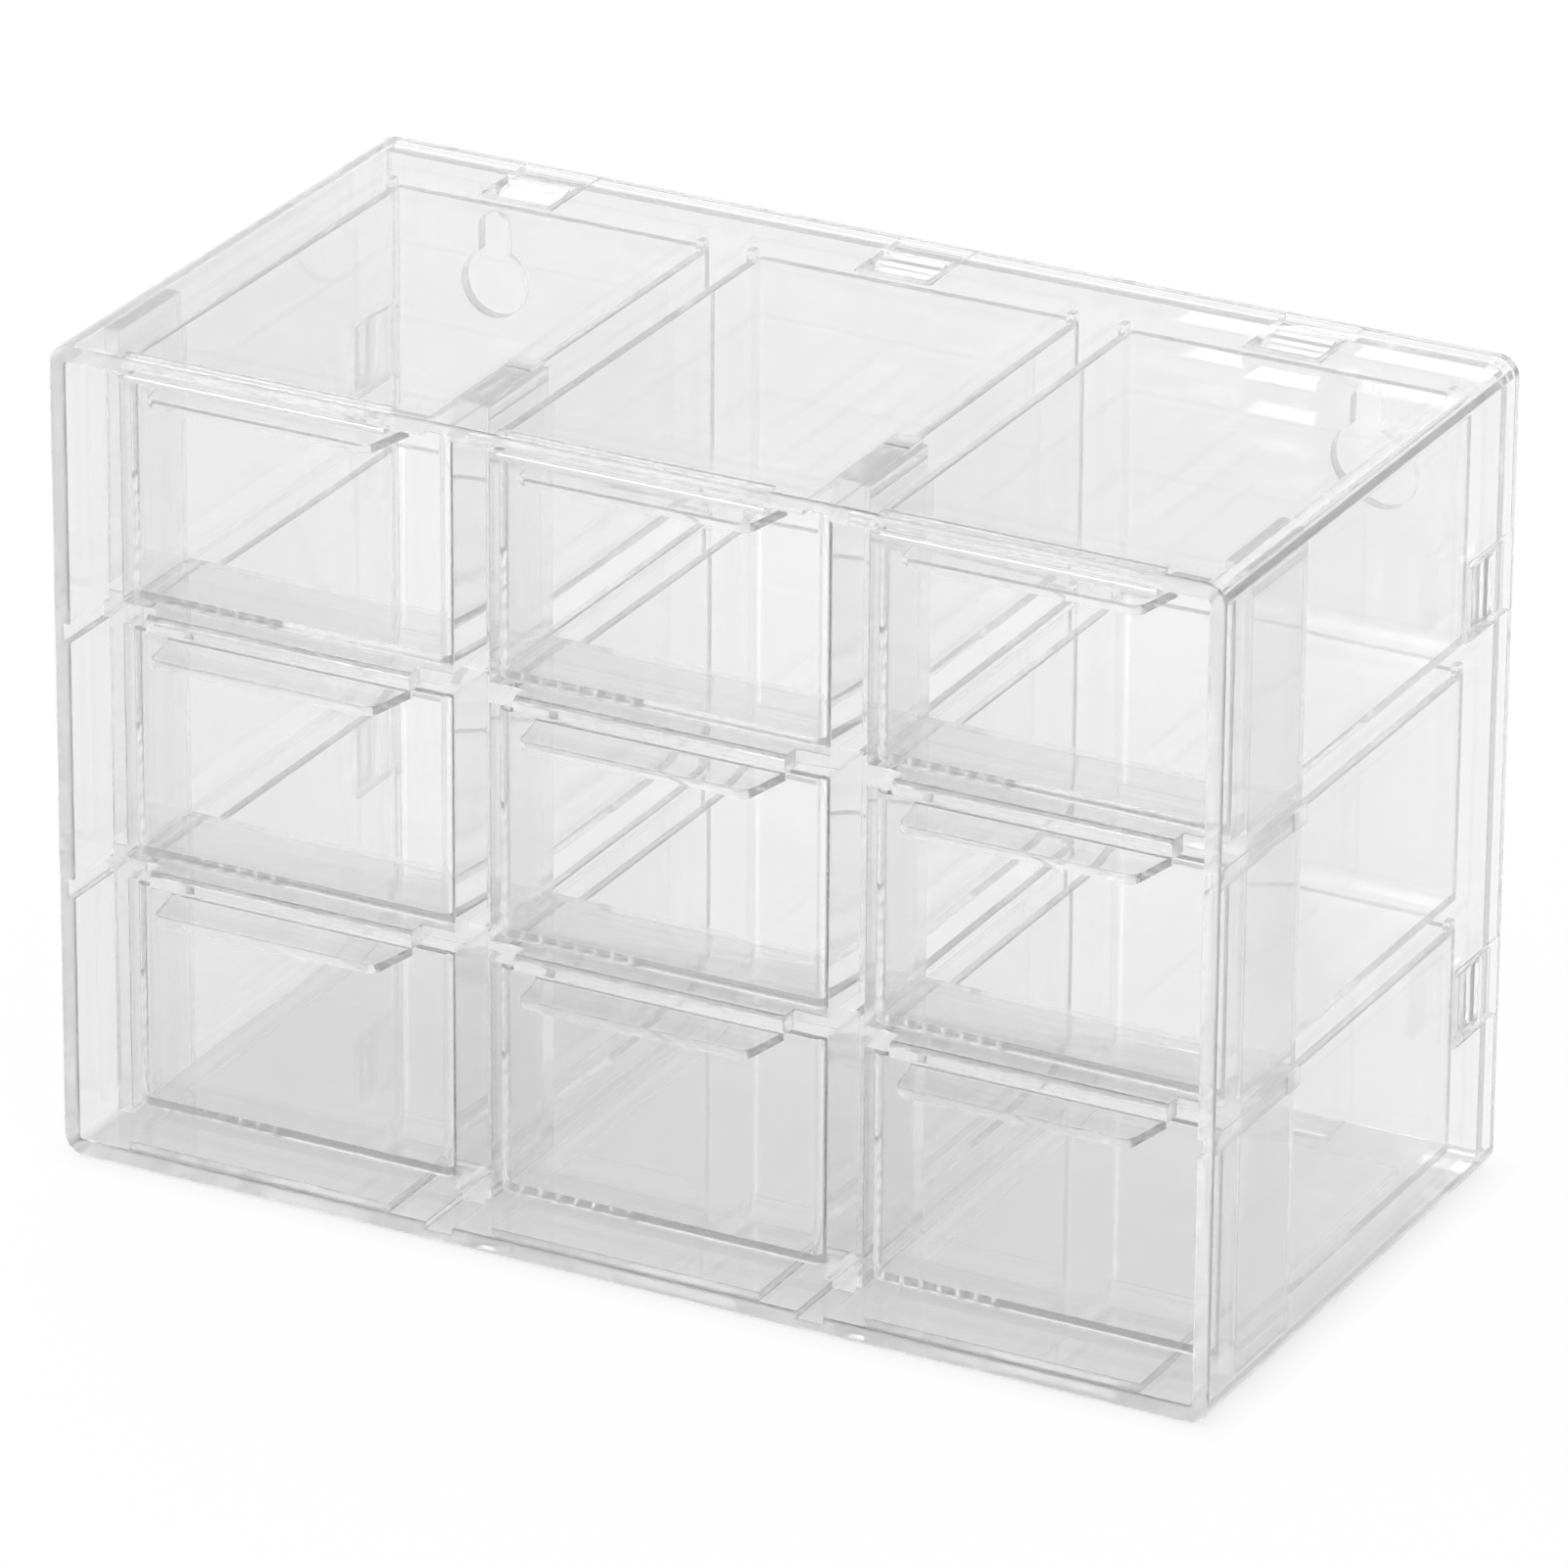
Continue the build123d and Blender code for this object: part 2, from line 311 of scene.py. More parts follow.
class Growth(Wiring):
    """A Geometry Nodes tree whose inputs are sizes of the box, with the shapes that moulded parts need."""

    def __init__(self, name, size_names, places=()):
        super().__init__(bpy.data.node_groups.new(name, "GeometryNodeTree"))
        self.identifiers = {}
        interface = self.group.interface
        known = BoxSizes.bl_rna.properties
        for key in size_names:
            entry = interface.new_socket(
                known[key].name,
                description=known[key].description,
                in_out="INPUT",
                socket_type="NodeSocketFloat",
            )
            entry.subtype = "DISTANCE"
            self.identifiers[key] = entry.identifier
        for key in places:
            entry = interface.new_socket(key, in_out="INPUT", socket_type="NodeSocketFloat")
            entry.subtype = "DISTANCE"
            self.identifiers[key] = entry.identifier
        entry = interface.new_socket("Material", in_out="INPUT", socket_type="NodeSocketMaterial")
        self.identifiers["material"] = entry.identifier
        interface.new_socket("Geometry", in_out="OUTPUT", socket_type="NodeSocketGeometry")
        given = self.group.nodes.new("NodeGroupInput")
        for position, key in enumerate(self.identifiers):
            setattr(self, key, Value(self, given.outputs[position]))

    def moved(self, piece, place=(0, 0, 0), turn=(0, 0, 0)):
        """A piece turned by three angles and then moved."""
        node = self.node(
            "GeometryNodeTransform",
            {"Geometry": piece, "Translation": self.vector(*place), "Rotation": turn},
        )
        return node.outputs["Geometry"]

    def block(self, *spans):
        """A box, given its low and high ends along X, Y and Z."""
        size = self.vector(*[high - low for low, high in spans])
        cube = self.node("GeometryNodeMeshCube", {"Size": size}).outputs["Mesh"]
        return self.moved(cube, [(high + low) * 0.5 for low, high in spans])

    def row(self, piece, count, start, step):
        """Copies of a piece, evenly spaced from the start."""
        points = self.node(
            "GeometryNodeMeshLine",
            {"Count": count, "Start Location": self.vector(*start), "Offset": self.vector(*step)},
        )
        copies = self.node(
            "GeometryNodeInstanceOnPoints",
            {"Points": points.outputs["Mesh"], "Instance": piece},
        )
        real = self.node("GeometryNodeRealizeInstances", {"Geometry": copies.outputs["Instances"]})
        return real.outputs["Geometry"]

    def columns(self, piece, count, pitch):
        """Copies of a piece in a row along X, centred on the middle."""
        return self.row(piece, count, (pitch * (-(count - 1) / 2), 0, 0), (pitch, 0, 0))

    def rounded(self, loop, radius, steps):
        """A closed loop with its corners rounded."""
        sockets = {"Curve": loop, "Radius": radius, "Count": steps}
        return self.node("GeometryNodeFilletCurve", sockets, mode="POLY").outputs["Curve"]

    def where_number(self, operation, number, chosen, others):
        """One value at the points whose number passes a test, and another at the rest."""
        index = self.node("GeometryNodeInputIndex").outputs["Index"]
        pair = {"A": index, "B": number}
        test = self.node("FunctionNodeCompare", pair, data_type="INT", operation=operation)
        sockets = {"Switch": test.outputs["Result"], "False": others, "True": chosen}
        return self.node("GeometryNodeSwitch", sockets, input_type="FLOAT").outputs["Output"]

    def rectangle(self, width, height, radius, steps):
        """A rounded rectangle about the origin."""
        sockets = {"Width": width, "Height": height}
        loop = self.node("GeometryNodeCurvePrimitiveQuadrilateral", sockets, mode="RECTANGLE")
        return self.rounded(loop.outputs["Curve"], radius, steps)

    def four_points(self, *points):
        """A closed loop of four points in the XY plane, counter-clockwise."""
        sockets = {f"Point {number}": self.vector(x, y, 0) for number, (x, y) in enumerate(points, 1)}
        loop = self.node("GeometryNodeCurvePrimitiveQuadrilateral", sockets, mode="POINTS")
        return loop.outputs["Curve"]

    def sweep(self, path, profile, caps=False):
        """A profile carried along a path: its X points outwards, and its Y down on a level path."""
        upright = self.node("GeometryNodeSetCurveNormal", {"Curve": path}, mode="Z_UP")
        sockets = {"Curve": upright.outputs["Curve"], "Profile Curve": profile, "Fill Caps": caps}
        return self.node("GeometryNodeCurveToMesh", sockets).outputs["Mesh"]

    def plate(self, loop, low, high):
        """A flat plate with a loop's outline, from a low to a high level."""
        sockets = {"Start": self.vector(0, 0, low), "End": self.vector(0, 0, high)}
        line = self.node("GeometryNodeCurvePrimitiveLine", sockets, mode="POINTS")
        return self.sweep(line.outputs["Curve"], loop, caps=True)

    def union(self, *pieces):
        """Several closed pieces fused into one."""
        sockets = {"Mesh 2": list(pieces)}
        fused = self.node("GeometryNodeMeshBoolean", sockets, operation="UNION", solver="MANIFOLD")
        return fused.outputs["Mesh"]

    def cut(self, piece, *tools):
        """A piece with the tools' shapes taken out of it."""
        sockets = {"Mesh 1": piece, "Mesh 2": list(tools)}
        left = self.node("GeometryNodeMeshBoolean", sockets, operation="DIFFERENCE", solver="MANIFOLD")
        return left.outputs["Mesh"]

    def close(self, piece):
        """End the tree: real geometry with its material."""
        real = self.node("GeometryNodeRealizeInstances", {"Geometry": piece}).outputs["Geometry"]
        painted = self.node("GeometryNodeSetMaterial", {"Geometry": real, "Material": self.material})
        self.node("NodeGroupOutput", {"Geometry": painted.outputs["Geometry"]})
        return self


def about(middle, width):
    """The low and high ends of a width about its middle."""
    return (middle - width * 0.5, middle + width * 0.5)


# Places that the pieces share, worked out inside a tree from its inputs

def front_of(tree):
    """The depth of the case's mouth."""
    return tree.case_depth * -0.5


def first_sill(tree):
    """The level of the floor pads, which the bottom drawers run on."""
    return tree.case_wall + tree.pad_height


def row_pitch(tree):
    """The height from one row's sill to the next."""
    return (tree.case_height - tree.case_wall - first_sill(tree)) / len(ROWS)


def tongue_seats(tree, piece_for):
    """One piece for each end of the grid's posts and rails, drawn with local Z out through the wall."""
    middle = tree.case_height * 0.5
    posts = len(COLUMNS) - 1
    rails = len(ROWS) - 1
    post_piece = tree.moved(piece_for(tree.post_tongue), (0, 0, middle - tree.case_wall))
    post_row = tree.columns(post_piece, posts, tree.column_pitch)
    first_rail = first_sill(tree) + row_pitch(tree) - tree.rail_height * 0.5 - middle
    wall_distance = tree.case_width * 0.5 - tree.case_wall
    rail_piece = tree.moved(piece_for(tree.rail_tongue), (0, 0, wall_distance))
    right_row = tree.row(rail_piece, rails, (-first_rail, 0, 0), (-row_pitch(tree), 0, 0))
    left_row = tree.row(rail_piece, rails, (first_rail, 0, 0), (row_pitch(tree), 0, 0))
    return [
        tree.moved(post_row, (0, 0, middle)),
        tree.moved(post_row, (0, 0, middle), (0, 2 * QUARTER_TURN, 0)),
        tree.moved(right_row, (0, 0, middle), (0, QUARTER_TURN, 0)),
        tree.moved(left_row, (0, 0, middle), (0, -QUARTER_TURN, 0)),
    ]


def snap_seats(tree, piece):
    """The piece at each of the back panel's snaps: three above, three below, two on each side."""
    middle = tree.case_height * 0.5
    above = tree.moved(piece, (0, 0, middle - tree.case_wall))
    above_row = tree.columns(above, len(COLUMNS), tree.snap_spacing)
    beside = tree.moved(piece, (0, 0, tree.case_width * 0.5 - tree.case_wall))
    low = tree.side_snap_low - middle
    high = middle - tree.side_snap_high
    right = tree.row(beside, SIDE_SNAPS, (-low, 0, 0), (low - high, 0, 0))
    left = tree.row(beside, SIDE_SNAPS, (low, 0, 0), (high - low, 0, 0))
    return [
        tree.moved(above_row, (0, 0, middle)),
        tree.moved(above_row, (0, 0, middle), (0, 2 * QUARTER_TURN, 0)),
        tree.moved(right, (0, 0, middle), (0, QUARTER_TURN, 0)),
        tree.moved(left, (0, 0, middle), (0, -QUARTER_TURN, 0)),
    ]


# How finely each kind of round is drawn

CORNER_STEPS = 6
RIM_STEPS = 3
BEVEL_STEPS = 1
KEYHOLE_STEPS = 8

# How many snaps the back panel has on each side, and how many keyholes

SIDE_SNAPS = 2
KEYHOLES = 2

# The flat left between the rounds of a keyhole, and how far a snap's foot is inset, as a share of the panel

KEYHOLE_FLAT = 0.005 * MM
FOOT_INSET_SHARE = 0.25

# How far the root of a tongue or a snap reaches in from the wall, in part gaps, so that it fuses

ROOT_GAPS = 2

# Which corner of a drawer's wall section is its outer base, and how many corners a handle's tip has

BASE_CORNER = 2
TIP_CORNERS = 2

# The sizes that several trees take

CASE_SIZES = ("case_width", "case_depth", "case_height", "case_wall")
CELL_SIZES = ("pad_height", "column_pitch")
TONGUE_SIZES = (
    "grid_setback", "grid_depth", "rail_height", "channel_depth", "post_tongue", "rail_tongue",
    "catch_length", "catch_depth", "catch_gap", "part_gap",
)
SNAP_SIZES = (
    "snap_spacing", "snap_width", "snap_length", "snap_setback", "groove_width", "groove_depth",
    "side_snap_low", "side_snap_high",
)


def case_tree():
    """The sleeve: a rounded wall swept round its mouth, with pads and lips, cut by channels and windows."""
    own_sizes = ("case_corner", "rim_round", "pad_width", "pad_length", "lip_length")
    tree = Growth("Clear sleeve", CASE_SIZES + CELL_SIZES + own_sizes + TONGUE_SIZES + SNAP_SIZES)
    middle = tree.case_height * 0.5
    front = front_of(tree)
    rear = -front
    inner_width = tree.case_width - tree.case_wall * 2
    inner_height = tree.case_height - tree.case_wall * 2
    path = tree.rectangle(inner_width, inner_height, tree.case_corner - tree.case_wall, CORNER_STEPS)
    section = tree.rectangle(tree.case_wall, tree.case_depth, tree.rim_round, RIM_STEPS)
    section = tree.moved(section, (tree.case_wall * 0.5, 0, 0))
    sleeve = tree.moved(tree.sweep(path, section), (0, 0, middle), (QUARTER_TURN, 0, 0))

    mouth = front + tree.rim_round + tree.part_gap
    pad = tree.block(
        about(0, tree.pad_width),
        (mouth, front + tree.pad_length),
        (tree.case_wall - tree.rim_round, first_sill(tree)),
    )
    ceiling = tree.case_height - tree.case_wall
    lip = tree.block(
        about(0, tree.pad_width),
        (mouth, front + tree.lip_length),
        (ceiling - tree.pad_height, ceiling + tree.rim_round),
    )
    pads = tree.columns(pad, len(COLUMNS), tree.column_pitch)
    lips = tree.columns(lip, len(COLUMNS), tree.column_pitch)
    shell = tree.union(sleeve, pads, lips)

    channel_rear = front + tree.grid_setback + tree.grid_depth + tree.part_gap

    def channel_for(width):
        """The channel and the blind catch pocket for a tongue of this width."""
        across = about(0, width + tree.part_gap * 2)
        channel_depths = (front - tree.rim_round, channel_rear)
        channel = tree.block(across, channel_depths, (-tree.rim_round, tree.channel_depth))
        pocket_depths = (channel_rear - tree.catch_length, channel_rear)
        pocket = tree.block(across, pocket_depths, (tree.rim_round * 0.5, tree.catch_depth))
        return tree.union(channel, pocket)

    window_rear = rear - tree.snap_setback
    window_front = window_rear - tree.snap_length
    groove = tree.block(
        about(0, tree.groove_width),
        (window_front, rear + tree.rim_round),
        (-tree.rim_round, tree.groove_depth),
    )
    window = tree.block(
        about(0, tree.snap_width),
        (window_front, window_rear),
        (tree.rim_round * 0.5, tree.case_wall + tree.rim_round),
    )
    snap = tree.union(groove, window)
    tools = tongue_seats(tree, channel_for) + snap_seats(tree, snap)
    return tree.close(tree.cut(shell, *tools))


def grid_tree():
    """The divider grid: fused posts, side bars and rails, with noses on the sills and end tongues."""
    own_sizes = ("post_width", "nose_reach", "nose_height", "nose_bevel", "pad_width")
    tree = Growth("Divider grid", CASE_SIZES + CELL_SIZES + own_sizes + TONGUE_SIZES)
    front = front_of(tree) + tree.grid_setback
    rear = front + tree.grid_depth
    levels = (tree.case_wall + tree.part_gap, tree.case_height - tree.case_wall - tree.part_gap)
    half_inside = tree.case_width * 0.5 - tree.case_wall - tree.part_gap
    post = tree.block(about(0, tree.post_width), (front, rear), levels)
    posts = tree.columns(post, len(COLUMNS) - 1, tree.column_pitch)
    bar_inner = tree.column_pitch * (len(COLUMNS) / 2) - tree.post_width * 0.5
    right_bar = tree.block((bar_inner, half_inside), (front, rear), levels)
    left_bar = tree.block((-half_inside, -bar_inner), (front, rear), levels)

    sill = first_sill(tree) + row_pitch(tree)
    rail = tree.block((-half_inside, half_inside), (front, rear), (sill - tree.rail_height, sill))
    rails = tree.row(rail, len(ROWS) - 1, (0, 0, 0), (0, 0, row_pitch(tree)))
    half_pad = tree.pad_width * 0.5
    nose_loop = tree.rectangle(tree.nose_reach * 2, tree.nose_height, tree.nose_bevel, BEVEL_STEPS)
    nose_place = (0, front, sill - tree.nose_height * 0.5)
    nose = tree.plate(nose_loop, -half_pad, half_pad)
    nose = tree.moved(nose, nose_place, (-QUARTER_TURN, 0, QUARTER_TURN))
    nose_row = tree.columns(nose, len(COLUMNS), tree.column_pitch)
    noses = tree.row(nose_row, len(ROWS) - 1, (0, 0, 0), (0, 0, row_pitch(tree)))

    def tongue_for(width):
        """A tongue of this width with the catch that stands in the pocket."""
        top = tree.channel_depth - tree.part_gap
        root = tree.part_gap * ROOT_GAPS
        bar = tree.block(about(0, width), (front, rear), (-root, top))
        catch_front = rear + tree.part_gap - tree.catch_length + tree.catch_gap
        catch_top = tree.catch_depth - tree.catch_gap
        ramp = tree.four_points(
            (catch_front, tree.part_gap - top),
            (catch_front + tree.catch_gap, -catch_top),
            (rear - tree.catch_gap, -top),
            (rear - tree.catch_gap, tree.part_gap - top),
        )
        half_ramp = width * 0.5 - tree.part_gap
        wedge = tree.plate(ramp, -half_ramp, half_ramp)
        return tree.union(bar, tree.moved(wedge, (0, 0, 0), (-QUARTER_TURN, 0, QUARTER_TURN)))

    grid = tree.union(posts, right_bar, left_bar, rails, noses, *tongue_seats(tree, tongue_for))
    return tree.close(grid)


def panel_tree():
    """The back panel: a plate with two keyholes and the arms of its snaps."""
    own_sizes = (
        "case_corner", "part_gap", "catch_gap", "panel_setback", "panel_thickness",
        "keyhole_spacing", "keyhole_drop", "keyhole_radius", "keyhole_slot", "keyhole_rise",
    )
    tree = Growth("Back panel", CASE_SIZES + own_sizes + SNAP_SIZES)
    middle = tree.case_height * 0.5
    rear = -front_of(tree)
    panel_rear = rear - tree.panel_setback
    panel_front = panel_rear - tree.panel_thickness
    width = tree.case_width - (tree.case_wall + tree.part_gap) * 2
    height = tree.case_height - (tree.case_wall + tree.part_gap) * 2
    outline = tree.rectangle(width, height, tree.case_corner - tree.case_wall, RIM_STEPS)
    plate = tree.plate(outline, -panel_rear, -panel_front)

    entry_level = middle - tree.keyhole_drop
    over = tree.panel_thickness
    entry_width = tree.keyhole_radius * 2
    entry_round = tree.keyhole_radius - KEYHOLE_FLAT
    entry_loop = tree.rectangle(entry_width, entry_width, entry_round, KEYHOLE_STEPS)
    slot_height = tree.keyhole_rise + tree.keyhole_slot * 0.5
    slot_round = tree.keyhole_slot * 0.5 - KEYHOLE_FLAT
    slot_loop = tree.rectangle(tree.keyhole_slot, slot_height * 2, slot_round, CORNER_STEPS)
    entry = tree.plate(entry_loop, -panel_rear - over, over - panel_front)
    slot_low = tree.block(
        about(0, tree.keyhole_slot * 2),
        (slot_height * -2, 0),
        (-panel_rear - over * 2, over * 2 - panel_front),
    )
    slot = tree.cut(tree.plate(slot_loop, -panel_rear - over, over - panel_front), slot_low)
    keyhole = tree.moved(tree.union(entry, slot), (0, entry_level, 0))
    keyholes = tree.columns(keyhole, KEYHOLES, tree.keyhole_spacing)
    holed = tree.moved(tree.cut(plate, keyholes), (0, 0, middle), (QUARTER_TURN, 0, 0))

    window_rear = rear - tree.snap_setback
    arm_front = window_rear - tree.snap_length + tree.catch_gap
    arm_top = tree.groove_depth - tree.part_gap
    across = about(0, tree.snap_width - tree.catch_gap * 2)
    arm = tree.block(across, (arm_front, panel_rear), (tree.part_gap, arm_top))
    foot_inset = tree.panel_thickness * FOOT_INSET_SHARE
    foot_depths = (panel_front + foot_inset, panel_rear - foot_inset)
    root = tree.part_gap * ROOT_GAPS
    foot = tree.block(across, foot_depths, (-root, arm_top))
    wedge_rear = window_rear - tree.catch_gap
    ramp = tree.four_points(
        (arm_front + tree.part_gap, tree.part_gap - arm_top),
        (wedge_rear - tree.catch_gap, tree.catch_gap - tree.case_wall),
        (wedge_rear, tree.catch_gap - tree.case_wall),
        (wedge_rear, tree.part_gap - arm_top),
    )
    half_ramp = across[1] - tree.catch_gap
    wedge = tree.plate(ramp, -half_ramp, half_ramp)
    snap = tree.union(arm, foot, tree.moved(wedge, (0, 0, 0), (-QUARTER_TURN, 0, QUARTER_TURN)))
    return tree.close(tree.union(holed, *snap_seats(tree, snap)))


def drawer_tree():
    """One drawer: a swept wall round a floor, with its handle and its two stop nibs."""
    own_sizes = (
        "drawer_wall", "drawer_corner", "drawer_base_round", "drawer_rim_round", "handle_root", "handle_tip",
        "handle_reach", "handle_thickness", "handle_round", "nib_length", "nib_height",
    )
    tree = Growth("Drawer", own_sizes, ("left", "right", "tray_front", "tray_rear", "base", "top"))
    wall = tree.drawer_wall
    centre = (tree.right + tree.left) * 0.5
    depth_middle = (tree.tray_front + tree.tray_rear) * 0.5
    inner_width = tree.right - tree.left - wall * 2
    inner_depth = tree.tray_rear - tree.tray_front - wall * 2
    height = tree.top - tree.base
    path = tree.rectangle(inner_width, inner_depth, tree.drawer_corner, CORNER_STEPS)
    rim = tree.drawer_rim_round
    section = tree.four_points((0, -height), (wall, -height), (wall, 0), (0, 0))
    section_rounds = tree.where_number("EQUAL", BASE_CORNER, tree.drawer_base_round, rim)
    section = tree.rounded(section, section_rounds, RIM_STEPS)
    walls = tree.sweep(path, section)
    floor_round = tree.drawer_corner + wall * 0.5
    floor_loop = tree.rectangle(inner_width + wall, inner_depth + wall, floor_round, CORNER_STEPS)
    floor = tree.plate(floor_loop, 0, wall)
    tray = tree.moved(tree.union(walls, floor), (centre, depth_middle, tree.base))

    tip_line = tree.tray_front - tree.handle_reach
    root_line = tree.tray_front + wall * 0.5
    widening = (tree.handle_root - tree.handle_tip) * 0.5
    root = tree.handle_root * 0.5 + widening * wall * 0.5 / tree.handle_reach
    tip = tree.handle_tip * 0.5
    outline = tree.four_points(
        (centre - tip, tip_line),
        (centre + tip, tip_line),
        (centre + root, root_line),
        (centre - root, root_line),
    )
    plate_rounds = tree.where_number("LESS_THAN", TIP_CORNERS, tree.handle_round, rim)
    plate_loop = tree.rounded(outline, plate_rounds, CORNER_STEPS)
    plate = tree.plate(plate_loop, tree.top - tree.handle_thickness, tree.top)

    nib_rear = tree.tray_rear - wall
    nib_front = tree.tray_rear - tree.nib_length
    nib_levels = (tree.top - wall, tree.top + tree.nib_height)
    inset = rim * 0.5
    nib_depths = (nib_front, nib_rear)
    left_nib = tree.block((tree.left + inset, tree.left + wall - inset), nib_depths, nib_levels)
    right_nib = tree.block((tree.right - wall + inset, tree.right - inset), nib_depths, nib_levels)
    return tree.close(tree.union(tray, plate, left_nib, right_nib))


# From a tree to a finished piece: which edges are rounded, which faces are joined, which points are merged,
# and how broad a face beside a rounded edge is at least, as a multiple of the round

SHARP_ANGLE = math.radians(40)
FLAT_ANGLE = math.radians(0.5)
WELD_DISTANCE = 0.002 * MM
ROOM_PER_ROUND = 2.5
EDGE_SEGMENTS = 2


def plain_mesh(piece):
    """Swap a piece's modifiers for the mesh that they make."""
    bpy.context.view_layer.update()
    evaluated = piece.evaluated_get(bpy.context.evaluated_depsgraph_get())
    mesh = bpy.data.meshes.new_from_object(evaluated)
    piece.modifiers.clear()
    piece.data = mesh
    return mesh


def is_sharp(edge):
    """True where two faces meet at more than the sharp angle."""
    return edge.calc_face_angle(0.0) > SHARP_ANGLE


def turn_between(edge, other):
    """How far the line of one edge turns into the line of another at the point that they share."""
    shared = next(corner for corner in edge.verts if corner in other.verts)
    along = shared.co - edge.other_vert(shared).co
    onward = other.other_vert(shared).co - shared.co
    return along.angle(onward, 0.0)


def has_room(edge, room):
    """True if a sharp edge can be rounded without its faces folding over."""
    length = edge.calc_length()
    if any(face.calc_area() < room * length for face in edge.link_faces):
        return False
    for corner in edge.verts:
        others = [other for other in corner.link_edges if other is not edge and is_sharp(other)]
        turning = [other for other in others if turn_between(edge, other) > SHARP_ANGLE]
        if any(other.calc_length() < room for other in turning):
            return False
        if length < room and len(turning) == len(others):
            return False
    return True


def mark_edges_with_room(mesh, width, inner_edges):
    """Give the bevel its edges: the sharp ones whose faces are broad enough."""
    shape = bmesh.new()
    shape.from_mesh(mesh)
    weight = shape.edges.layers.float.new("bevel_weight_edge")
    for edge in shape.edges:
        wanted = is_sharp(edge) and (inner_edges or edge.is_convex)
        edge[weight] = float(wanted and has_room(edge, width * ROOM_PER_ROUND))
    shape.to_mesh(mesh)
    shape.free()


def weld(piece):
    """Merge the points that lie on one another."""
    piece.modifiers.new("Weld", "WELD").merge_threshold = WELD_DISTANCE


def grow(name, tree, sizes, material, node, places=None, inner_edges=True):
    """Grow a piece, round its edges, and let it stand for its node of the frame."""
    piece = bpy.data.objects.new(name, bpy.data.meshes.new(name))
    bpy.context.scene.collection.objects.link(piece)
    growth = piece.modifiers.new("Growth", "NODES")
    growth.node_group = tree.group
    for key, identifier in tree.identifiers.items():
        if key == "material":
            growth[identifier] = material
        elif places and key in places:
            growth[identifier] = places[key]
        else:
            growth[identifier] = getattr(sizes, key)
    weld(piece)
    flats = piece.modifiers.new("Whole flats", "DECIMATE")
    flats.decimate_type = "DISSOLVE"
    flats.angle_limit = FLAT_ANGLE
    mark_edges_with_room(plain_mesh(piece), sizes.edge_round, inner_edges)
    edges = piece.modifiers.new("Edges", "BEVEL")
    edges.width = sizes.edge_round
    edges.segments = EDGE_SEGMENTS
    edges.limit_method = "WEIGHT"
    edges.use_clamp_overlap = False
    weld(piece)
    mesh = plain_mesh(piece)
    if not mesh.polygons:
        raise RuntimeError(f"{name} grew no faces")
    mesh.polygons.foreach_set("use_smooth", [True] * len(mesh.polygons))
    mesh.set_sharp_from_angle(angle=SHARP_ANGLE)
    normals = piece.modifiers.new("Even normals", "WEIGHTED_NORMAL")
    normals.keep_sharp = True
    plain_mesh(piece)
    piece.data.name = name
    body = frame["nodes"][node]["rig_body"]
    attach(piece, body)
    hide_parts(node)
    return piece


# Materials

WHITE = (1.0, 1.0, 1.0, 1.0)
FLOOR_COLOUR = (0.95, 0.95, 0.95, 1.0)

# The marks of moulding: their scales, in patches of noise to a metre, and how strongly each shows

WAVE_SCALES = {"case_clear": 24.0, "panel_clear": 24.0, "grid_clear": 40.0, "drawer_clear": 32.0}
STREAK_SCALE = 90.0
STREAK_STRETCH = (1.0, 0.12, 1.0)
STREAK_START = 0.4
STREAK_FULL = 0.7
STREAK_SHADE = 0.99
RUBBING_SCALE = 700.0
RUBBING_LEAST = 0.7
RUBBING_SPREAD = 0.6

# The numbers of a Mix node's sockets for colours, whose names its other sockets share

MIX_SHARE = 0
MIX_FIRST = 6
MIX_SECOND = 7
MIX_RESULT = 2


def moulded_surface_group():
    """The marks of moulding that every part shares: shallow waves, flow streaks and fine rubbing."""
    group = bpy.data.node_groups.new("Moulded surface", "ShaderNodeTree")
    interface = group.interface
    for label in ("Wave scale", "Streak scale", "Haze"):
        interface.new_socket(label, in_out="INPUT", socket_type="NodeSocketFloat")
    for label in ("Height", "Streaks", "Roughness"):
        interface.new_socket(label, in_out="OUTPUT", socket_type="NodeSocketFloat")
    wiring = Wiring(group)
    given = group.nodes.new("NodeGroupInput")
    place = group.nodes.new("ShaderNodeTexCoord").outputs["Object"]
    waves = wiring.node(
        "ShaderNodeTexNoise",
        {"Vector": place, "Scale": given.outputs["Wave scale"], "Detail": 0.0},
    ).outputs["Fac"]
    stretched = wiring.node(
        "ShaderNodeMapping",
        {"Vector": place, "Scale": STREAK_STRETCH},
    ).outputs["Vector"]
    streaks = wiring.node(
        "ShaderNodeTexNoise",
        {"Vector": stretched, "Scale": given.outputs["Streak scale"], "Detail": 1.0},
    ).outputs["Fac"]
    rubbing = wiring.node(
        "ShaderNodeTexNoise",
        {"Vector": place, "Scale": RUBBING_SCALE, "Detail": 0.0},
    ).outputs["Fac"]
    streak_mask = wiring.node(
        "ShaderNodeMapRange",
        {"Value": streaks, "From Min": STREAK_START, "From Max": STREAK_FULL},
    ).outputs["Result"]
    unevenness = wiring.math("ADD", RUBBING_LEAST, wiring.math("MULTIPLY", rubbing, RUBBING_SPREAD))
    roughness = wiring.math("MULTIPLY", unevenness, given.outputs["Haze"])
    output = wiring.node("NodeGroupOutput")
    wiring.feed(output.inputs["Height"], waves)
    wiring.feed(output.inputs["Streaks"], streak_mask)
    wiring.feed(output.inputs["Roughness"], roughness)
    return group


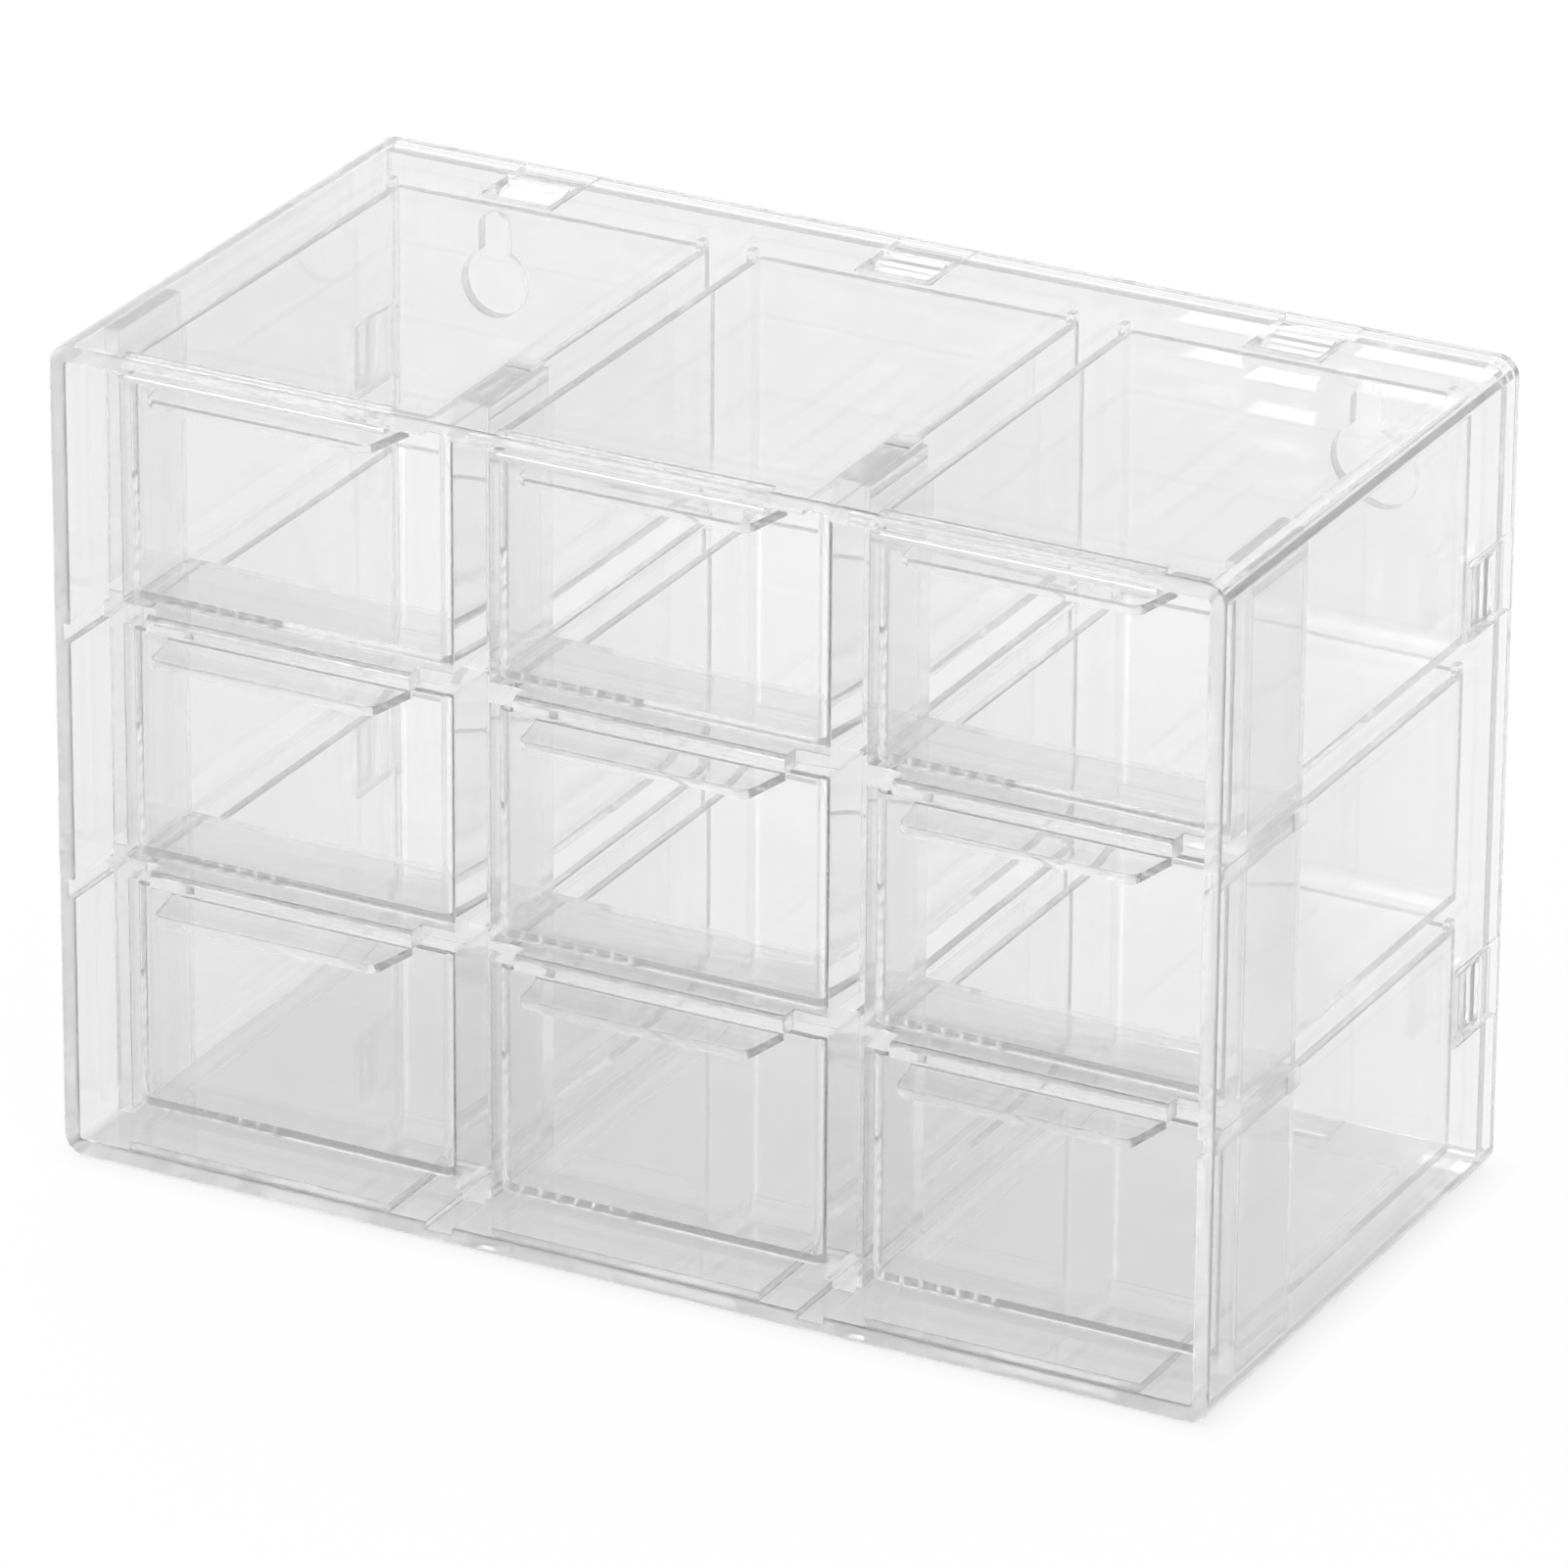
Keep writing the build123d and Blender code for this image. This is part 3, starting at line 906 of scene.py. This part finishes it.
def clear_plastic(name, finish, surface):
    """Clear moulded polystyrene: smooth, faintly wavy and a little grey where it is thick."""
    material = bpy.data.materials.new(name)
    material.use_nodes = True
    material.node_tree.nodes.clear()
    wiring = Wiring(material.node_tree)
    marks = wiring.node("ShaderNodeGroup", node_tree=surface)
    marks.inputs["Wave scale"].default_value = WAVE_SCALES[name]
    marks.inputs["Streak scale"].default_value = STREAK_SCALE
    marks.inputs["Haze"].default_value = finish.haze
    clearness = getattr(finish, name)
    clear = (clearness, clearness, clearness, 1.0)
    streaked = tuple(channel * STREAK_SHADE for channel in clear[:3]) + (1.0,)
    colour = wiring.node(
        "ShaderNodeMix",
        {MIX_SHARE: marks.outputs["Streaks"], MIX_FIRST: clear, MIX_SECOND: streaked},
        data_type="RGBA",
    ).outputs[MIX_RESULT]
    bump = wiring.node(
        "ShaderNodeBump",
        {"Height": marks.outputs["Height"], "Distance": finish.waviness, "Strength": 1.0},
    ).outputs["Normal"]
    plastic = wiring.node(
        "ShaderNodeBsdfPrincipled",
        {
            "Base Color": colour,
            "Roughness": marks.outputs["Roughness"],
            "IOR": finish.refraction,
            "Transmission Weight": 1.0,
            "Metallic": 0.0,
            "Alpha": finish.drawer_body if name == "drawer_clear" else finish.body,
            "Normal": bump,
        },
    )
    wiring.node("ShaderNodeOutputMaterial", {"Surface": plastic.outputs["BSDF"]})
    return material


def seen_share(wiring, path):
    """1 for rays from the camera, a reflection or through the plastic, and 0 for rays that light things."""
    direct = wiring.math("MAXIMUM", path.outputs["Is Camera Ray"], path.outputs["Is Glossy Ray"])
    return wiring.math("MAXIMUM", direct, path.outputs["Is Transmission Ray"])


def distance_from_box(wiring):
    """How far a point of the floor lies outside the box's outline, in metres, and less than 0 inside it."""
    place = wiring.node("ShaderNodeTexCoord").outputs["Object"]
    either_side = wiring.node("ShaderNodeVectorMath", {0: place}, operation="ABSOLUTE").outputs["Vector"]
    half_size = ((case_high.x - case_low.x) / 2, (case_high.y - case_low.y) / 2, 0.0)
    beyond = wiring.node("ShaderNodeVectorMath", {0: either_side, 1: half_size}, operation="SUBTRACT")
    ends = wiring.node("ShaderNodeSeparateXYZ", {"Vector": beyond.outputs["Vector"]}).outputs
    return wiring.math("MAXIMUM", ends["X"], ends["Y"])


def floor_material(settings):
    """A white floor that keeps the box's soft shadow, with a painted shadow right under the box, where less of
    its light-independent white is given.
    """
    material = bpy.data.materials.new("White floor")
    material.use_nodes = True
    material.node_tree.nodes.clear()
    wiring = Wiring(material.node_tree)
    matt = wiring.node("ShaderNodeBsdfDiffuse", {"Color": FLOOR_COLOUR})
    white = wiring.node("ShaderNodeEmission", {"Color": WHITE, "Strength": 1.0})
    path = wiring.node("ShaderNodeLightPath")
    # Painted shadow: inside the box's outline, softened at its edge, this share of white drops to the lower
    # share set for under the box, so the floor there is darker.
    white_share_with_painted_shadow = wiring.node(
        "ShaderNodeMapRange",
        {
            "Value": distance_from_box(wiring),
            "From Min": -settings.shade_edge,
            "From Max": settings.shade_edge,
            "To Min": settings.floor_white_below,
            "To Max": settings.floor_white,
        },
    ).outputs["Result"]
    mixed = wiring.node(
        "ShaderNodeMixShader",
        {
            0: wiring.math("MULTIPLY", seen_share(wiring, path), white_share_with_painted_shadow),
            1: matt.outputs["BSDF"],
            2: white.outputs["Emission"],
        },
    )
    wiring.node("ShaderNodeOutputMaterial", {"Surface": mixed.outputs["Shader"]})
    return material


# The pieces, one operator for each kind

def box_sizes(context):
    """The box's sizes in this scene."""
    return context.scene.storage_box_sizes


def finished(context, slot):
    """The clear plastic of one kind of part."""
    surface = bpy.data.node_groups.get("Moulded surface") or moulded_surface_group()
    return clear_plastic(slot, context.scene.storage_box_finish, surface)


class STORAGEBOX_OT_case(bpy.types.Operator):
    """Grow the clear sleeve that holds everything"""

    bl_idname = "storage_box.case"
    bl_label = "Sleeve"

    def execute(self, context):
        material = finished(context, "case_clear")
        grow("clear_sleeve", case_tree(), box_sizes(context), material, "case_shell")
        return {"FINISHED"}


class STORAGEBOX_OT_grid(bpy.types.Operator):
    """Grow the moulded grid of posts and rails at the front"""

    bl_idname = "storage_box.grid"
    bl_label = "Divider grid"

    def execute(self, context):
        material = finished(context, "grid_clear")
        grow("clear_grid", grid_tree(), box_sizes(context), material, "divider_grid")
        return {"FINISHED"}


class STORAGEBOX_OT_panel(bpy.types.Operator):
    """Grow the back panel with its snaps and keyholes"""

    bl_idname = "storage_box.panel"
    bl_label = "Back panel"

    def execute(self, context):
        material = finished(context, "panel_clear")
        tree = panel_tree()
        sizes = box_sizes(context)
        grow("clear_back", tree, sizes, material, "back_panel", inner_edges=False)
        return {"FINISHED"}


class STORAGEBOX_OT_drawers(bpy.types.Operator):
    """Grow the nine drawers from one tree"""

    bl_idname = "storage_box.drawers"
    bl_label = "Drawers"

    def execute(self, context):
        sizes = box_sizes(context)
        material = finished(context, "drawer_clear")
        tree = drawer_tree()
        for row in ROWS:
            for column in COLUMNS:
                node = f"drawer_{row}_{column}"
                low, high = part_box(node)
                places = {
                    "left": low.x,
                    "right": high.x,
                    "tray_front": low.y + sizes.handle_reach,
                    "tray_rear": high.y,
                    "base": low.z,
                    "top": high.z - sizes.nib_height,
                }
                grow(f"tray_{row}_{column}", tree, sizes, material, node, places)
        return {"FINISHED"}


# The stage: its floor, its lamps as places and sizes in metres, and the fill's power as a share of the key's

FLOOR_SIZE = 6.0
FLOOR_DROP = 0.0003
KEY_LAMP = {"place": (-0.9, -0.9, 1.4), "size": 0.9}
FILL_LAMP = {"place": (1.4, -0.6, 0.9), "size": 0.8}
RIM_LAMP = {"place": (-0.85, 1.15, 1.4), "size": 0.6}
FILL_SHARE = 0.4
BACKDROP_FADE = math.radians(12)

# The camera's sensor in millimetres, and the nearest and farthest that it sees in metres

SENSOR_WIDTH = 36.0
NEAR_CLIP = 0.05
FAR_CLIP = 20.0

# How often light may bounce, which is what it needs to pass through every wall and back

BOUNCES = 26
GLOSSY_BOUNCES = 14
TRANSPARENT_BOUNCES = 36
LAMP_BOUNCES = 4


def add_floor(settings):
    """A wide white floor just under the base."""
    half = FLOOR_SIZE / 2
    mesh = bpy.data.meshes.new("floor")
    corners = [(x * half, y * half, -FLOOR_DROP) for x, y in ((-1, -1), (1, -1), (1, 1), (-1, 1))]
    mesh.from_pydata(corners, [], [range(len(corners))])
    mesh.materials.append(floor_material(settings))
    floor = bpy.data.objects.new("floor", mesh)
    bpy.context.scene.collection.objects.link(floor)


def ceiling_shade(wiring, settings, path):
    """1 at the height of the backdrop, and darker overhead for what the plastic's edges mirror and bend."""
    direction = wiring.node("ShaderNodeTexCoord").outputs["Generated"]
    height = wiring.node("ShaderNodeSeparateXYZ", {"Vector": direction}).outputs["Z"]
    overhead = wiring.node(
        "ShaderNodeMapRange",
        {
            "Value": height,
            "From Min": math.sin(settings.backdrop_top),
            "From Max": math.sin(settings.backdrop_top + BACKDROP_FADE),
            "To Min": 1.0,
            "To Max": settings.ceiling_light,
        },
    ).outputs["Result"]
    return wiring.math("MAXIMUM", path.outputs["Is Camera Ray"], overhead)


def add_room(scene, settings):
    """Even light from all round, on a white backdrop under a darker ceiling."""
    world = bpy.data.worlds.new("White studio")
    world.use_nodes = True
    world.node_tree.nodes.clear()
    scene.world = world
    wiring = Wiring(world.node_tree)
    room = wiring.node("ShaderNodeBackground", {"Strength": settings.room_light, "Color": WHITE})
    path = wiring.node("ShaderNodeLightPath")
    white = {"Strength": ceiling_shade(wiring, settings, path), "Color": WHITE}
    backdrop = wiring.node("ShaderNodeBackground", white)
    mixed = wiring.node(
        "ShaderNodeMixShader",
        {0: seen_share(wiring, path), 1: room.outputs["Background"], 2: backdrop.outputs["Background"]},
    )
    wiring.node("ShaderNodeOutputWorld", {"Surface": mixed.outputs["Shader"]})
    world.cycles.sampling_method = "NONE"


def add_lamp(name, place, size, power):
    """A square soft lamp that faces the box."""
    lamp = bpy.data.lights.new(name, "AREA")
    lamp.size = size
    lamp.energy = power
    lamp.cycles.max_bounces = LAMP_BOUNCES
    holder = bpy.data.objects.new(name, lamp)
    holder.location = place
    holder.rotation_euler = (-Vector(place)).to_track_quat("-Z", "Y").to_euler()
    bpy.context.scene.collection.objects.link(holder)


def add_camera(scene, settings):
    """A long lens at the picture's angle."""
    azimuth = settings.azimuth
    elevation = settings.elevation
    back = Vector((
        math.sin(azimuth) * math.cos(elevation),
        -math.cos(azimuth) * math.cos(elevation),
        math.sin(elevation),
    ))
    right = Vector((math.cos(azimuth), math.sin(azimuth), 0.0))
    up = back.cross(right)
    rolled_right = right * math.cos(settings.roll) + up * math.sin(settings.roll)
    rolled_up = up * math.cos(settings.roll) - right * math.sin(settings.roll)
    middle = Vector((0.0, 0.0, box_sizes(bpy.context).case_height / 2))
    aim = middle + rolled_right * settings.aim_right - rolled_up * settings.aim_down
    place = aim + back * settings.distance
    camera = bpy.data.cameras.new("Camera")
    camera.sensor_width = SENSOR_WIDTH
    camera.lens = settings.lens
    camera.clip_start = NEAR_CLIP
    camera.clip_end = FAR_CLIP
    holder = bpy.data.objects.new("Camera", camera)
    turn = Matrix((rolled_right, rolled_up, back)).transposed().to_4x4()
    holder.matrix_world = Matrix.Translation(place) @ turn
    scene.collection.objects.link(holder)
    scene.camera = holder


class STORAGEBOX_OT_stage(bpy.types.Operator):
    """Set up the floor, the light and the camera"""

    bl_idname = "storage_box.stage"
    bl_label = "Stage"

    def execute(self, context):
        scene = context.scene
        settings = scene.storage_box_stage
        add_floor(settings)
        add_room(scene, settings)
        add_lamp("key", power=settings.key_power, **KEY_LAMP)
        add_lamp("fill", power=settings.key_power * FILL_SHARE, **FILL_LAMP)
        add_lamp("rim", power=settings.rim_power, **RIM_LAMP)
        add_camera(scene, settings)
        scene.view_settings.view_transform = "Standard"
        scene.cycles.max_bounces = BOUNCES
        scene.cycles.transmission_bounces = BOUNCES
        scene.cycles.glossy_bounces = GLOSSY_BOUNCES
        scene.cycles.transparent_max_bounces = TRANSPARENT_BOUNCES
        return {"FINISHED"}


class STORAGEBOX_PT_panel(bpy.types.Panel):
    """Lists the box's pieces in the sidebar"""

    bl_idname = "STORAGEBOX_PT_panel"
    bl_label = "Storage Box"
    bl_space_type = "VIEW_3D"
    bl_region_type = "UI"
    bl_category = "Storage Box"

    def draw(self, context):
        for operator in OPERATORS:
            self.layout.operator(operator.bl_idname)
        scene = context.scene
        for settings in (scene.storage_box_sizes, scene.storage_box_finish, scene.storage_box_stage):
            column = self.layout.column()
            for key in settings.bl_rna.properties.keys():
                if key not in ("rna_type", "name"):
                    column.prop(settings, key)


OPERATORS = (
    STORAGEBOX_OT_case,
    STORAGEBOX_OT_grid,
    STORAGEBOX_OT_panel,
    STORAGEBOX_OT_drawers,
    STORAGEBOX_OT_stage,
)
CLASSES = (BoxSizes, BoxFinish, StageSettings, *OPERATORS, STORAGEBOX_PT_panel)


def register():
    """Register the classes and hang the settings on the scene."""
    for one in CLASSES:
        bpy.utils.register_class(one)
    bpy.types.Scene.storage_box_sizes = bpy.props.PointerProperty(type=BoxSizes)
    bpy.types.Scene.storage_box_finish = bpy.props.PointerProperty(type=BoxFinish)
    bpy.types.Scene.storage_box_stage = bpy.props.PointerProperty(type=StageSettings)


def unregister():
    """Take the settings and the classes away again."""
    del bpy.types.Scene.storage_box_stage
    del bpy.types.Scene.storage_box_finish
    del bpy.types.Scene.storage_box_sizes
    for one in reversed(CLASSES):
        bpy.utils.unregister_class(one)


def main():
    """Grow the whole box on its stage."""
    register()
    bpy.ops.storage_box.case()
    bpy.ops.storage_box.grid()
    bpy.ops.storage_box.panel()
    bpy.ops.storage_box.drawers()
    bpy.ops.storage_box.stage()


if __name__ == "__main__":
    main()
